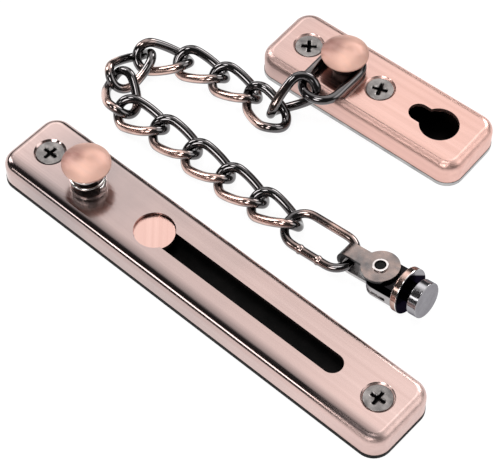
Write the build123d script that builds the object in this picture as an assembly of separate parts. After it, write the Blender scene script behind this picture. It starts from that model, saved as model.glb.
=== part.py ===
"""Door chain guard: a track plate with a press lock, an anchor plate with a stud, and the chain between them.

Millimetres. The origin is the middle of the track plate's back. +X runs along the track towards the blind
end of its slot, +Y points to the anchor plate and +Z stands out of the plates. Both plates and the slack
chain lie on the plane Z = 0.
"""
from build123d import *
import math
import os

# Both plates
PLATE_WIDTH = 22.0
PLATE_HEIGHT = 8.2          # back of the base to the face of the cover
CORNER_RADIUS = 5.0
EDGE_RADIUS = 2.6
COVER_SHEET = 1.2
BASE_SHEET = 1.2
BASE_LIP = 0.1              # the base's edge stands out past the cover's

# Track plate
TRACK_LENGTH = 130.0
TRACK_SCREW_FROM_END = 9.0
BUTTON_FROM_END = 23.0
ENTRY_FROM_BUTTON = 23.8    # to the round hole where the bolt's head goes in
ENTRY_RADIUS = 5.55
SLOT_WIDTH = 5.9
SLOT_TIP_FROM_END = 20.6

# Anchor plate
ANCHOR_LENGTH = 65.6
ANCHOR_TURN = 2.8           # degrees, as it lies beside the track
STUD_X = -17.4
STUD_Y = 74.0
STUD_FROM_END = 21.5
ANCHOR_SCREW_SPACING = 24.2
KEYHOLE_FROM_STUD = 31.8
KEYHOLE_RADIUS = 5.45
KEYHOLE_REACH = 9.5         # keyhole centre to the tip of its narrow end

# Screws
SCREW_HEAD_RADIUS = 3.75
SCREW_RIM = 0.3             # straight edge of the head above its cone
SCREW_SHANK_RADIUS = 1.9
SCREW_HOLE_CLEARANCE = 0.25
SCREW_SUNK = 0.3            # head below the cover's face
SCREW_BACK = 0.3            # shank end above the plate's back
RECESS_LENGTH = 4.4
RECESS_WIDTH = 1.05
RECESS_DEPTH = 1.5

# Press button, spring and gate
CAP_RADIUS = 6.5
CAP_RIM = 0.5
CAP_EDGE = 0.2              # rounding of the cap's rim
DOME_RISE = 2.1
BUTTON_REACH = 7.1          # cover's face to the underside of the cap
STEM_RADIUS = 2.5
STEM_TENON_RADIUS = 1.8
STEM_CLEARANCE = 0.08
SPRING_WIRE = 0.85
SPRING_RADIUS = 4.4         # to the middle of the wire
SPRING_TURNS = 2.5
SEAT_GAP = 0.05
LEAF_SHEET = 1.0
LEAF_WIDTH = 8.0
LEAF_GAP = 0.1              # leaf below the cover's inner face
GATE_SUNK = 1.0             # gate disc below the cover's face
GATE_CLEARANCE = 0.2

# Stud and its ring
STUD_REACH = 5.2
NECK_RADIUS = 3.0
STUD_TENON_RADIUS = 2.0
STUD_CLEARANCE = 0.05
RING_WIRE = 2.6
RING_LENGTH = 22.4
RING_WIDTH = 13.2
RING_CLEARANCE = 0.3        # ring to the stud's neck
REST_GAP = 0.15             # ring above the cover

# Chain
LINK_WIRE = 2.6
LINK_LENGTH = 17.6
LINK_WIDTH = 11.1
LINK_TWIST = 90.0           # degrees from one end of a link to the other
LINK_CORNERS = 20           # bends in one link's wire
HOOK_GAP = 0.25             # between the wires of hooked links
FLOOR_GAP = 0.05
FIRST_LINK_HEADING = 242.3
FIRST_LINK_ROLL = -85.2
FIRST_LINK_SHIFT_X = -3.7   # from midway between the ring and the second link
FIRST_LINK_SHIFT_Y = 2.9
FIRST_LINK_SHIFT_Z = 0.65
FIRST_LINK_DROP = 2.62      # its fall beyond that from the ring to the second link
SECOND_LINK_X = -25.8
SECOND_LINK_Y = 51.0
# Heading, pitch and roll in degrees and slack in mm of the links that lie on the ground, as the chain lies
LYING_LINKS = [
    (167, 4, -22, 0.0), (183, 0, 0, 0.0), (192, 0, 0, 0.6), (215, 4, -6, 0.5), (273, 4, 0, 0.5), (322, 2, 6, 1.1),
    (8, 2, 6, 0.2), (0, 0, 6, 0.1), (0, 0, 3, 0.0), (0, 0, 0, 0.0), (1, 3, -10, 0.0),
]

# End fitting
OVAL_WIRE = 2.4
OVAL_LENGTH = 23.0
OVAL_WIDTH = 12.4
OVAL_HEADING = 5.0
OVAL_ROLL = 9.0
OVAL_SLACK = 0.3
STRAP_SHEET = 1.0
STRAP_HEIGHT = 5.2          # inside, between its two legs
TAB_CLEARANCE = 1.55        # strap to each side of the oval link's eye
STRAP_REACH = 9.1           # rivet to the middle of the fold
STRAP_ASIDE = 0.3           # strap's middle beside the oval link's
FITTING_HEADING = 1.5
FITTING_PITCH = 8.5         # the collar and the fold rest on the ground
FITTING_ROLL = -1.0
FOLD_GAP = 0.6              # oval link to the inside of the fold
EAR_RADIUS = 5.1
LOWER_EAR_RADIUS = 3.6
RIVET_RADIUS = 1.9
RIVET_BORE = 1.55
RIVET_RIM = 0.2             # rolled rim beyond the rivet's body
RIVET_STAND = 0.45          # height of the rim on the ear
RIVET_CLEARANCE = 0.05
BARREL_RADIUS = 5.9
BARREL_BACK = 4.1           # rounding of the barrel's end about the rivet
BARREL_UNDER = 4.3          # rivet's middle to the flat under the barrel
FLAT_CLEARANCE = 0.05       # barrel to the strap's legs
CUT_CLEARANCE = 0.4         # end of the barrel's saw cut to the lower ear
COLLAR_FROM_RIVET = 7.4
COLLAR_RADIUS = 6.25
COLLAR_THICKNESS = 2.0
COLLAR_EDGE = 0.3
HEAD_THICKNESS = 2.8
HEAD_CLEARANCE = 0.65       # head in the entry hole
NECK_CLEARANCE = 0.25       # neck in the slot
NECK_PLAY = 1.1             # neck longer than the cover's sheet
HEAD_EDGE = 0.25

# Worked out from the sizes above
FACE_Z = PLATE_HEIGHT
INNER_Z = PLATE_HEIGHT - COVER_SHEET
BUTTON_X = BUTTON_FROM_END - TRACK_LENGTH / 2
ENTRY_X = BUTTON_X + ENTRY_FROM_BUTTON
SLOT_TIP_X = TRACK_LENGTH / 2 - SLOT_TIP_FROM_END
ANCHOR_FRAME = Location((STUD_X, STUD_Y, 0), (0, 0, ANCHOR_TURN))
ANCHOR_MIDDLE = ANCHOR_LENGTH / 2 - STUD_FROM_END
ANCHOR_AWAY = Vector(0, -1, 0).rotate(Axis.Z, ANCHOR_TURN)
LINK_REACH = (LINK_LENGTH - LINK_WIRE) / 2
LINK_SIDE = (LINK_WIDTH - LINK_WIRE) / 2
RING_REACH = (RING_LENGTH - RING_WIRE) / 2
RING_SIDE = (RING_WIDTH - RING_WIRE) / 2
OVAL_REACH = (OVAL_LENGTH - OVAL_WIRE) / 2
OVAL_SIDE = (OVAL_WIDTH - OVAL_WIRE) / 2
OVAL_EYE = OVAL_WIDTH / 2 - OVAL_WIRE
TAB_WIDTH = 2 * (OVAL_EYE - TAB_CLEARANCE)
FITTING_SLOPE = math.radians(FITTING_PITCH)
RIVET_Z = COLLAR_RADIUS * math.cos(FITTING_SLOPE) - COLLAR_FROM_RIVET * math.sin(FITTING_SLOPE) + FLOOR_GAP
FOLD_Z = RIVET_Z - STRAP_REACH * math.sin(FITTING_SLOPE)


# Plates

def cover(length, middle_x):
    """Drawn sheet cover: a tray with rounded corners and edges, open at the back."""
    outer = extrude(RectangleRounded(length, PLATE_WIDTH, CORNER_RADIUS), FACE_Z - BASE_SHEET)
    outer = fillet(outer.faces().sort_by(Axis.Z)[-1].edges(), EDGE_RADIUS)
    hollow = extrude(
        RectangleRounded(length - 2 * COVER_SHEET, PLATE_WIDTH - 2 * COVER_SHEET, CORNER_RADIUS - COVER_SHEET),
        INNER_Z - BASE_SHEET)
    hollow = fillet(hollow.faces().sort_by(Axis.Z)[-1].edges(), max(EDGE_RADIUS - COVER_SHEET, 0.1))
    return Pos(middle_x, 0, BASE_SHEET) * (outer - hollow)


def dimple(x):
    """Pressed countersink: the cone that stands under the cover, and the cone and hole cut through it."""
    hole = SCREW_SHANK_RADIUS + SCREW_HOLE_CLEARANCE
    mouth = SCREW_HEAD_RADIUS + SCREW_SUNK + SCREW_RIM
    depth = mouth - hole
    wall = COVER_SHEET
    body = Pos(x, 0, INNER_Z - depth) * Cone(
        hole + wall, mouth + wall, depth, align=(Align.CENTER, Align.CENTER, Align.MIN))
    cut = Pos(x, 0, FACE_Z) * Cone(hole, mouth, depth, align=(Align.CENTER, Align.CENTER, Align.MAX))
    through = Pos(x, 0, FACE_Z) * Cylinder(hole, 2 * (depth + wall))
    return body, cut + through


def base(length, middle_x, screw_xs):
    """Flat back plate, a little larger than the cover, with a clear hole for each screw."""
    outline = RectangleRounded(
        length + 2 * BASE_LIP, PLATE_WIDTH + 2 * BASE_LIP, CORNER_RADIUS + BASE_LIP)
    plate = Pos(middle_x, 0, 0) * extrude(outline, BASE_SHEET)
    for x in screw_xs:
        plate -= Pos(x, 0, 0) * Cylinder(SCREW_SHANK_RADIUS + SCREW_HOLE_CLEARANCE, 3 * BASE_SHEET)
    return plate


def pierce(plate_cover, screw_xs):
    """Adds the screws' dimples to a cover."""
    for x in screw_xs:
        body, cut = dimple(x)
        plate_cover = plate_cover + body - cut
    return plate_cover


def keyhole(x, radius, tip_x):
    """Round hole with a slot that ends in a half circle, cut through the cover's sheet."""
    end_x = tip_x + math.copysign(SLOT_WIDTH / 2, x - tip_x)
    shape = Pos(x, 0) * Circle(radius)
    shape += Pos((x + end_x) / 2, 0) * Rectangle(abs(x - end_x), SLOT_WIDTH)
    shape += Pos(end_x, 0) * Circle(SLOT_WIDTH / 2)
    return Pos(0, 0, FACE_Z) * extrude(shape, COVER_SHEET * 1.5, both=True)


def screw(x):
    """Countersunk screw with a cross recess, its shank cut off inside the plate."""
    top = FACE_Z - SCREW_SUNK
    cone = SCREW_HEAD_RADIUS - SCREW_SHANK_RADIUS
    head = Pos(x, 0, top) * Cylinder(
        SCREW_HEAD_RADIUS, SCREW_RIM, align=(Align.CENTER, Align.CENTER, Align.MAX))
    head += Pos(x, 0, top - SCREW_RIM) * Cone(
        SCREW_SHANK_RADIUS, SCREW_HEAD_RADIUS, cone, align=(Align.CENTER, Align.CENTER, Align.MAX))
    shank = Pos(x, 0, SCREW_BACK) * Cylinder(
        SCREW_SHANK_RADIUS, top - SCREW_RIM - cone - SCREW_BACK, align=(Align.CENTER, Align.CENTER, Align.MIN))
    cross = Pos(x, 0, top) * Box(RECESS_LENGTH, RECESS_WIDTH, 2 * RECESS_DEPTH)
    cross += Pos(x, 0, top) * Box(RECESS_WIDTH, RECESS_LENGTH, 2 * RECESS_DEPTH)
    return head + shank - cross


# Button, spring, gate and stud

def mushroom_cap(under_z):
    """Turned cap: a flat underside, a short rim and a low dome."""
    rim_z = under_z + CAP_RIM
    profile = Polyline((0, rim_z + DOME_RISE), (0, under_z), (CAP_RADIUS, under_z), (CAP_RADIUS, rim_z))
    dome = SagittaArc((CAP_RADIUS, rim_z), (-CAP_RADIUS, rim_z), -DOME_RISE)
    half_dome = dome.trim(0, 0.5)
    face = make_face(Plane.XZ * (profile + half_dome))
    cap = revolve(face, Axis.Z)
    return fillet(cap.edges().filter_by(GeomType.CIRCLE).sort_by(Axis.Z)[0], CAP_EDGE)


def press_button():
    """Cap and stem turned in one piece; the stem's tenon holds the gate leaf."""
    leaf_top = INNER_Z - LEAF_GAP
    cap = mushroom_cap(FACE_Z + BUTTON_REACH)
    stem = Pos(0, 0, leaf_top) * Cylinder(
        STEM_RADIUS, FACE_Z + BUTTON_REACH - leaf_top, align=(Align.CENTER, Align.CENTER, Align.MIN))
    tenon = Pos(0, 0, leaf_top) * Cylinder(
        STEM_TENON_RADIUS, LEAF_SHEET, align=(Align.CENTER, Align.CENTER, Align.MAX))
    return Pos(BUTTON_X, 0, 0) * (cap + stem + tenon)


def button_spring():
    """Open coil between the cover's face and the cap."""
    rise = BUTTON_REACH - SPRING_WIRE - 2 * SEAT_GAP
    coil = Helix(rise / SPRING_TURNS, rise, SPRING_RADIUS)
    section = Plane(origin=coil @ 0, z_dir=coil % 0) * Circle(SPRING_WIRE / 2)
    return Pos(BUTTON_X, 0, FACE_Z + SEAT_GAP + SPRING_WIRE / 2) * sweep(section, path=coil, is_frenet=True)


def gate_leaf():
    """Flat leaf under the cover, with the raised disc that fills the entry hole."""
    leaf_top = INNER_Z - LEAF_GAP
    gate_radius = ENTRY_RADIUS - GATE_CLEARANCE
    strip = Pos((BUTTON_X + ENTRY_X) / 2, 0) * Rectangle(ENTRY_X - BUTTON_X, LEAF_WIDTH)
    strip += Pos(BUTTON_X, 0) * Circle(LEAF_WIDTH / 2)
    strip += Pos(ENTRY_X, 0) * Circle(gate_radius)
    leaf = Pos(0, 0, leaf_top) * extrude(strip, -LEAF_SHEET)
    disc = Pos(ENTRY_X, 0, leaf_top) * Cylinder(
        gate_radius, FACE_Z - GATE_SUNK - leaf_top, align=(Align.CENTER, Align.CENTER, Align.MIN))
    return leaf + disc - Pos(BUTTON_X, 0, leaf_top) * Cylinder(STEM_TENON_RADIUS, 3 * LEAF_SHEET)


def anchor_stud():
    """Fixed stud: cap, neck down to the base, and a tenon through it."""
    cap = mushroom_cap(FACE_Z + STUD_REACH)
    neck = Pos(0, 0, BASE_SHEET) * Cylinder(
        NECK_RADIUS, FACE_Z + STUD_REACH - BASE_SHEET, align=(Align.CENTER, Align.CENTER, Align.MIN))
    tenon = Pos(0, 0, BASE_SHEET) * Cylinder(
        STUD_TENON_RADIUS, BASE_SHEET, align=(Align.CENTER, Align.CENTER, Align.MAX))
    return cap + neck + tenon


# Wire pieces

def bent_path(points):
    """Straight runs joined by the largest tangent arcs that they leave room for."""
    radii = []
    for before, corner, after in zip(points, points[1:], points[2:]):
        turn = math.radians((corner - before).get_angle(after - corner))
        run = min((corner - before).length, (after - corner).length)
        radii.append(0.45 * run / math.tan(turn / 2))
    return FilletPolyline(*points, radius=radii)


def round_wire(path, wire):
    """Round wire along a path."""
    return sweep(Plane(origin=path @ 0, z_dir=path % 0) * Circle(wire / 2), path=path)


def oval_point(reach, side, share):
    """Point at a share of the way round an oval, from the middle of one straight side on."""
    half_side = reach - side
    half_round = 2 * half_side + math.pi * side
    way = (2 * half_round * share) % half_round
    if way < half_side:
        x, y = way, -side
    elif way < half_round - half_side:
        angle = (way - half_side) / side
        x, y = half_side + side * math.sin(angle), -side * math.cos(angle)
    else:
        x, y = half_round - way, side
    return (x, y) if share < 0.5 else (-x, -y)


def link_points(count):
    """Corners round a curb link: an oval whose ends are turned against each other by the twist."""
    points = []
    for i in range(count):
        x, y = oval_point(LINK_REACH, LINK_SIDE, (i + 0.5) / count)
        turn = math.radians(-LINK_TWIST / 2 * x / LINK_REACH)
        points.append(Vector(x, y * math.cos(turn), y * math.sin(turn)))
    return points


def curb_link_paths():
    """The wire of one twisted link as two halves that meet in the middle of its sides."""
    points = link_points(LINK_CORNERS)
    half = LINK_CORNERS // 2
    first = (points[0] + points[-1]) * 0.5
    second = (points[half] + points[half - 1]) * 0.5
    return bent_path([first] + points[:half] + [second]), bent_path([second] + points[half:] + [first])


def curb_link():
    """One twisted link, its two halves welded where they meet."""
    one, two = curb_link_paths()
    return round_wire(one, LINK_WIRE) + round_wire(two, LINK_WIRE)


def flat_oval(reach, side, wire):
    """Flat wire oval: two straight sides and two half-circle ends."""
    straight = reach - side
    loop = None
    for way in (1, -1):
        out = Line((0, -way * side), (way * straight, -way * side))
        end = ThreePointArc((way * straight, -way * side), (way * reach, 0), (way * straight, way * side))
        back = Line((way * straight, way * side), (0, way * side))
        half = round_wire(Wire([out, end, back]), wire)
        loop = half if loop is None else loop + half
    return loop


# Chain layout

def pose(centre, heading, pitch, roll):
    """Plane whose x runs along a heading, raised by the pitch and rolled about itself."""
    h, p, r = (math.radians(angle) for angle in (heading, pitch, roll))
    along = Vector(math.cos(h) * math.cos(p), math.sin(h) * math.cos(p), math.sin(p))
    left = Vector(-math.sin(h), math.cos(h), 0)
    up = along.cross(left)
    return Plane(origin=centre, x_dir=along, z_dir=up * math.cos(r) - left * math.sin(r))


def lying_height(plane):
    """Height of a link's middle above the ground when it lies there, turned as the plane is."""
    lowest = min(plane.from_local_coords(point).Z for point in link_points(4 * LINK_CORNERS))
    return plane.origin.Z - lowest + LINK_WIRE / 2 + FLOOR_GAP


def hook(end, before, along, room):
    """Start of the next wire, set back into the bend of the one before it along their mean direction."""
    return end - (before + along).normalized() * room


def lay_chain():
    """Planes of all links from the ring on: the first hangs, the others lie on the ground."""
    planes = []
    end = None
    link_end = link_points(LINK_CORNERS)[LINK_CORNERS // 4].X
    for heading, pitch, roll, slack in LYING_LINKS:
        along = pose((0, 0, 0), heading, pitch, roll).x_dir
        if end is None:
            middle = Vector(SECOND_LINK_X, SECOND_LINK_Y, 0)
        else:
            middle = hook(end, before, along, LINK_WIRE + HOOK_GAP + slack) + along * link_end
        plane = pose(middle, heading, pitch, roll)
        plane = pose(Vector(middle.X, middle.Y, lying_height(plane)), heading, pitch, roll)
        planes.append(plane)
        end = plane.origin + along * link_end
        before = along
    ring_end = ring_plane().origin + ANCHOR_AWAY * RING_REACH
    start = planes[0].origin - planes[0].x_dir * link_end
    fall = ring_end.Z - start.Z + FIRST_LINK_DROP
    pitch = -math.degrees(math.asin(fall / (2 * link_end)))
    shift = Vector(FIRST_LINK_SHIFT_X, FIRST_LINK_SHIFT_Y, FIRST_LINK_SHIFT_Z)
    first = pose((ring_end + start) * 0.5 + shift, FIRST_LINK_HEADING, pitch, FIRST_LINK_ROLL)
    return [first] + planes


def ring_plane():
    """Ring lying on the anchor's cover, its far end round the stud's neck."""
    height = FACE_Z + REST_GAP + RING_WIRE / 2
    back = NECK_RADIUS + RING_CLEARANCE + RING_WIRE / 2 - RING_REACH
    middle = Vector(STUD_X, STUD_Y, height) - ANCHOR_AWAY * back
    return Plane(origin=middle, x_dir=ANCHOR_AWAY, z_dir=(0, 0, 1))


def oval_plane(last_link):
    """Oval link from the last curb link's end to the height of the strap's fold."""
    end = last_link.origin + last_link.x_dir * link_points(LINK_CORNERS)[LINK_CORNERS // 4].X
    level = pose((0, 0, 0), OVAL_HEADING, 0, 0).x_dir
    start = hook(end, last_link.x_dir, level, (LINK_WIRE + OVAL_WIRE) / 2 + HOOK_GAP + OVAL_SLACK)
    pitch = math.degrees(math.asin((FOLD_Z - start.Z) / (2 * OVAL_REACH)))
    along = pose((0, 0, 0), OVAL_HEADING, pitch, OVAL_ROLL).x_dir
    return pose(start + along * OVAL_REACH, OVAL_HEADING, pitch, OVAL_ROLL)


def rivet_point(oval):
    """Rivet's place, from the oval link's end, whose curve touches the fold at the strap's edges first."""
    strap = pose((0, 0, 0), FITTING_HEADING, FITTING_PITCH, 0)
    wire = oval.origin + oval.x_dir * OVAL_REACH
    sag = OVAL_EYE - math.sqrt(OVAL_EYE ** 2 - (TAB_WIDTH / 2 + STRAP_ASIDE) ** 2)
    fold = wire + strap.x_dir * (STRAP_HEIGHT / 2 - OVAL_WIRE / 2 - FOLD_GAP - sag)
    place = fold + strap.y_dir * STRAP_ASIDE + strap.x_dir * STRAP_REACH
    return Vector(place.X, place.Y, RIVET_Z)


# End fitting, made about the rivet with the bolt along +X

def end_strap():
    """Sheet strap folded round the oval link, with a large ear on the barrel and a small one in its saw cut."""
    inside = STRAP_HEIGHT / 2
    outside = inside + STRAP_SHEET
    side = SlotCenterToCenter(2 * STRAP_REACH, 2 * outside) - SlotCenterToCenter(2 * STRAP_REACH, 2 * inside)
    side &= Pos(-STRAP_REACH - outside, 0) * Rectangle(
        STRAP_REACH + outside + EAR_RADIUS, 2 * outside, align=(Align.MIN, Align.CENTER))
    side += Pos(0, inside + STRAP_SHEET / 2) * Rectangle(2 * EAR_RADIUS, STRAP_SHEET)
    side += Pos(0, -inside - STRAP_SHEET / 2) * Rectangle(2 * EAR_RADIUS, STRAP_SHEET)
    folded = extrude(Plane.XZ * side, EAR_RADIUS, both=True)
    tab = Rectangle(STRAP_REACH + outside, TAB_WIDTH, align=(Align.MAX, Align.CENTER))
    folded &= extrude(Circle(EAR_RADIUS) + tab, outside) + extrude(Circle(LOWER_EAR_RADIUS) + tab, -outside)
    return folded - Cylinder(RIVET_RADIUS, 4 * outside)


def strap_rivet():
    """Tubular rivet through the strap and the barrel, with a rolled rim on the upper ear."""
    ear = STRAP_HEIGHT / 2 + STRAP_SHEET
    foot = BARREL_UNDER - RIVET_STAND
    from_below = (Align.CENTER, Align.CENTER, Align.MIN)
    rivet = Pos(0, 0, -foot) * Cylinder(RIVET_RADIUS, foot + ear + RIVET_STAND, align=from_below)
    rivet += Pos(0, 0, ear) * Cylinder(RIVET_RADIUS + RIVET_RIM, RIVET_STAND, align=from_below)
    rivet = fillet(rivet.edges().filter_by(GeomType.CIRCLE).group_by(Axis.Z)[-1], RIVET_RIM * 0.4)
    return rivet - Cylinder(RIVET_BORE, 4 * foot)


def chain_bolt():
    """Turned bolt: barrel with a flat and a saw cut for the strap, collar, neck that runs in the slot, and head."""
    neck = SLOT_WIDTH / 2 - NECK_CLEARANCE
    head = ENTRY_RADIUS - HEAD_CLEARANCE
    along = Rot(0, 90, 0)
    from_start = (Align.CENTER, Align.CENTER, Align.MIN)
    barrel = along * Pos(0, 0, -BARREL_BACK) * Cylinder(
        BARREL_RADIUS, BARREL_BACK + COLLAR_FROM_RIVET, align=from_start)
    plan = Circle(BARREL_BACK)
    plan += Rectangle(COLLAR_FROM_RIVET, 2 * BARREL_BACK, align=(Align.MIN, Align.CENTER))
    flat_z = STRAP_HEIGHT / 2 - FLAT_CLEARANCE
    barrel &= Pos(0, 0, flat_z) * extrude(plan, -flat_z - BARREL_UNDER)
    cut_end = LOWER_EAR_RADIUS + CUT_CLEARANCE
    barrel -= Pos(cut_end, 0, -flat_z) * Box(
        2 * BARREL_BACK + cut_end, 4 * BARREL_RADIUS, STRAP_SHEET + 2 * FLAT_CLEARANCE,
        align=(Align.MAX, Align.CENTER, Align.MAX))
    collar = along * Pos(0, 0, COLLAR_FROM_RIVET) * Cylinder(COLLAR_RADIUS, COLLAR_THICKNESS, align=from_start)
    collar = fillet(collar.edges().filter_by(GeomType.CIRCLE), COLLAR_EDGE)
    neck_start = COLLAR_FROM_RIVET + COLLAR_THICKNESS
    neck_length = COVER_SHEET + NECK_PLAY
    shaft = along * Pos(0, 0, neck_start) * Cylinder(neck, neck_length, align=from_start)
    flange = along * Pos(0, 0, neck_start + neck_length) * Cylinder(head, HEAD_THICKNESS, align=from_start)
    flange = fillet(flange.edges().filter_by(GeomType.CIRCLE), HEAD_EDGE)
    bore = Cylinder(RIVET_RADIUS + RIVET_CLEARANCE, 4 * BARREL_RADIUS)
    return barrel - bore + collar + shaft + flange


# Assembly

track_screw_xs = (TRACK_SCREW_FROM_END - TRACK_LENGTH / 2, TRACK_LENGTH / 2 - TRACK_SCREW_FROM_END)
anchor_screw_xs = (-ANCHOR_SCREW_SPACING / 2, ANCHOR_SCREW_SPACING / 2)
chain = lay_chain()
oval = oval_plane(chain[-1])
rivet = rivet_point(oval)
fitting = pose(rivet, FITTING_HEADING, FITTING_PITCH, FITTING_ROLL)

track_cover = pierce(cover(TRACK_LENGTH, 0), track_screw_xs) - keyhole(ENTRY_X, ENTRY_RADIUS, SLOT_TIP_X)
track_cover -= Pos(BUTTON_X, 0, FACE_Z) * Cylinder(STEM_RADIUS + STEM_CLEARANCE, 4 * COVER_SHEET)
anchor_cover = pierce(cover(ANCHOR_LENGTH, ANCHOR_MIDDLE), anchor_screw_xs)
anchor_cover -= keyhole(KEYHOLE_FROM_STUD, KEYHOLE_RADIUS, KEYHOLE_FROM_STUD - KEYHOLE_REACH)
anchor_cover -= Pos(0, 0, FACE_Z) * Cylinder(NECK_RADIUS + STUD_CLEARANCE, 4 * COVER_SHEET)
anchor_base = base(ANCHOR_LENGTH, ANCHOR_MIDDLE, anchor_screw_xs)
anchor_base -= Cylinder(STUD_TENON_RADIUS, 4 * BASE_SHEET)

parts = {
    "track_cover": track_cover,
    "track_base": base(TRACK_LENGTH, 0, track_screw_xs),
    "track_screws": Compound(children=[screw(x) for x in track_screw_xs]),
    "press_button": press_button(),
    "button_spring": button_spring(),
    "gate_leaf": gate_leaf(),
    "anchor_cover": ANCHOR_FRAME * anchor_cover,
    "anchor_base": ANCHOR_FRAME * anchor_base,
    "anchor_screws": ANCHOR_FRAME * Compound(children=[screw(x) for x in anchor_screw_xs]),
    "anchor_stud": ANCHOR_FRAME * anchor_stud(),
    "stud_ring": ring_plane().location * flat_oval(RING_REACH, RING_SIDE, RING_WIRE),
    "oval_link": oval.location * flat_oval(OVAL_REACH, OVAL_SIDE, OVAL_WIRE),
    "end_strap": fitting.location * end_strap(),
    "strap_rivet": fitting.location * strap_rivet(),
    "chain_bolt": fitting.location * chain_bolt(),
}
link = curb_link()
for number, plane in enumerate(chain, start=1):
    parts[f"chain_link_{number:02d}"] = plane.location * link

os.makedirs("parts", exist_ok=True)
for name, shape in parts.items():
    export_step(shape, f"parts/{name}.step")
    print(name, round(shape.volume, 2))
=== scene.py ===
# %% [markdown]
# # A door chain in brushed antique copper
#
# The object is a set of three things: a long track plate with a press button, a short anchor plate with a
# stud, and a dark curb chain that joins them. The solids are already modelled in CAD and packed as a fixed
# frame. This lesson dresses that frame: it swaps wire and turned pieces for smooth surfaces that are worked
# out with numpy, gives every surface a procedural metal, and lights it like a product photograph.

# %% Load the frame
import bpy
import bmesh
import math
import numpy as np
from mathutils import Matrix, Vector


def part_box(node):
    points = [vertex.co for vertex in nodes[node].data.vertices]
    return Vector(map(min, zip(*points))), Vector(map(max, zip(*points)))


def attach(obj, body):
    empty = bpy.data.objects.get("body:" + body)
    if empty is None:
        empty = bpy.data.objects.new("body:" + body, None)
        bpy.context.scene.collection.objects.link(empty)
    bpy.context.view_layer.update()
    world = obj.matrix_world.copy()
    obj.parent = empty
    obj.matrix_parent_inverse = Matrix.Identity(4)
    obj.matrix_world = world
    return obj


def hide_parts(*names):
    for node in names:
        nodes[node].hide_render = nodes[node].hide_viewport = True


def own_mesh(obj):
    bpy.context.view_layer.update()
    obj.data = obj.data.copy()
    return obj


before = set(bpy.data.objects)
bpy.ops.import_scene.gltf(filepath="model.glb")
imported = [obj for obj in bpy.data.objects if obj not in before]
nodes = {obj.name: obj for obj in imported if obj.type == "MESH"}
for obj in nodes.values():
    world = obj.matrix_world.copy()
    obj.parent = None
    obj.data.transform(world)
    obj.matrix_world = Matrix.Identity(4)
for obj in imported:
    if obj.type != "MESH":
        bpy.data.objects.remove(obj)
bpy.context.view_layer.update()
MM = 0.001

# %% [markdown]
# ## Camera
#
# The photograph was taken from well above the near right corner with a long lens. Its place was found by
# fitting the plates' corners and holes, so only four numbers are needed: the turn round the object, the
# height angle, the distance and the point that the camera looks at.

# %% Camera
VIEW_TURN = math.radians(41.876)
VIEW_HEIGHT = math.radians(54.453)
VIEW_DISTANCE = 514.05 * MM
VIEW_TARGET = Vector((-3.84, 20.53, 0.0)) * MM
FOCAL_LENGTH = 142.04

back = Vector((
    math.sin(VIEW_TURN) * math.cos(VIEW_HEIGHT),
    -math.cos(VIEW_TURN) * math.cos(VIEW_HEIGHT),
    math.sin(VIEW_HEIGHT)))
camera = bpy.data.objects.new("camera", bpy.data.cameras.new("camera"))
bpy.context.scene.collection.objects.link(camera)
camera.data.sensor_width = 36.0
camera.data.lens = FOCAL_LENGTH
camera.data.clip_start = 0.01
camera.location = VIEW_TARGET + back * VIEW_DISTANCE
camera.rotation_euler = (-back).to_track_quat("-Z", "Y").to_euler()
bpy.context.scene.camera = camera
print("camera at", [round(c, 3) for c in camera.location])

# %% [markdown]
# ## Surfaces from grids
#
# Every new piece here is a grid of points: rows along one parameter, columns along another. A wire is a
# circle carried along a path, and a turned part is a profile carried round an axis. One helper turns such
# a grid into a mesh, closes it where it meets itself, and merges the points that fall together at a pole.
# Sizes of pieces are written in millimetres, and places inside a material in metres, as its coordinates are.

# %% Grid helpers
def grid_faces(rows, columns, wrap_rows, wrap_columns):
    """Quads between neighbouring rows and columns, with the last joined to the first where it wraps."""
    r = np.arange(rows if wrap_rows else rows - 1)
    c = np.arange(columns if wrap_columns else columns - 1)
    r, c = np.meshgrid(r, c, indexing="ij")
    r_next, c_next = (r + 1) % rows, (c + 1) % columns
    corners = (r * columns + c, r_next * columns + c, r_next * columns + c_next, r * columns + c_next)
    return np.stack(corners, axis=-1).reshape(-1, 4)


def add_grids(name, grids, body, slot, material, node=None, **attributes):
    """One smooth mesh of (points, wrap rows, wrap columns) grids in metres, riding on a body.

    Where a node is named, the piece takes its place. An attribute has one value for each point."""
    points, faces, count = [], [], 0
    for grid, wrap_rows, wrap_columns in grids:
        faces.append(grid_faces(*grid.shape[:2], wrap_rows, wrap_columns) + count)
        points.append(grid.reshape(-1, 3))
        count += len(points[-1])
    mesh = bpy.data.meshes.new(name)
    mesh.from_pydata(np.concatenate(points).tolist(), [], np.concatenate(faces).tolist())
    for key, values in attributes.items():
        layer = mesh.attributes.new(key, "FLOAT", "POINT")
        layer.data.foreach_set("value", np.ascontiguousarray(values, np.float32).ravel())
    work = bmesh.new()
    work.from_mesh(mesh)
    bmesh.ops.remove_doubles(work, verts=work.verts, dist=1e-7)
    bmesh.ops.recalc_face_normals(work, faces=work.faces)
    work.to_mesh(mesh)
    work.free()
    mesh.polygons.foreach_set("use_smooth", np.ones(len(mesh.polygons), bool))
    mesh.materials.append(material)
    piece = bpy.data.objects.new(name, mesh)
    bpy.context.scene.collection.objects.link(piece)
    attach(piece, body)
    if node:
        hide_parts(node)
    return piece


def add_piece(name, points, body, slot, material, wrap_rows=False, node=None, **attributes):
    """One (rows, columns, 3) grid as a piece, with its columns closed into rings."""
    return add_grids(name, [(points, wrap_rows, True)], body, slot, material, node, **attributes)


def unit(vectors):
    """Vectors divided by their lengths."""
    return vectors / np.linalg.norm(vectors, axis=-1, keepdims=True)


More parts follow.
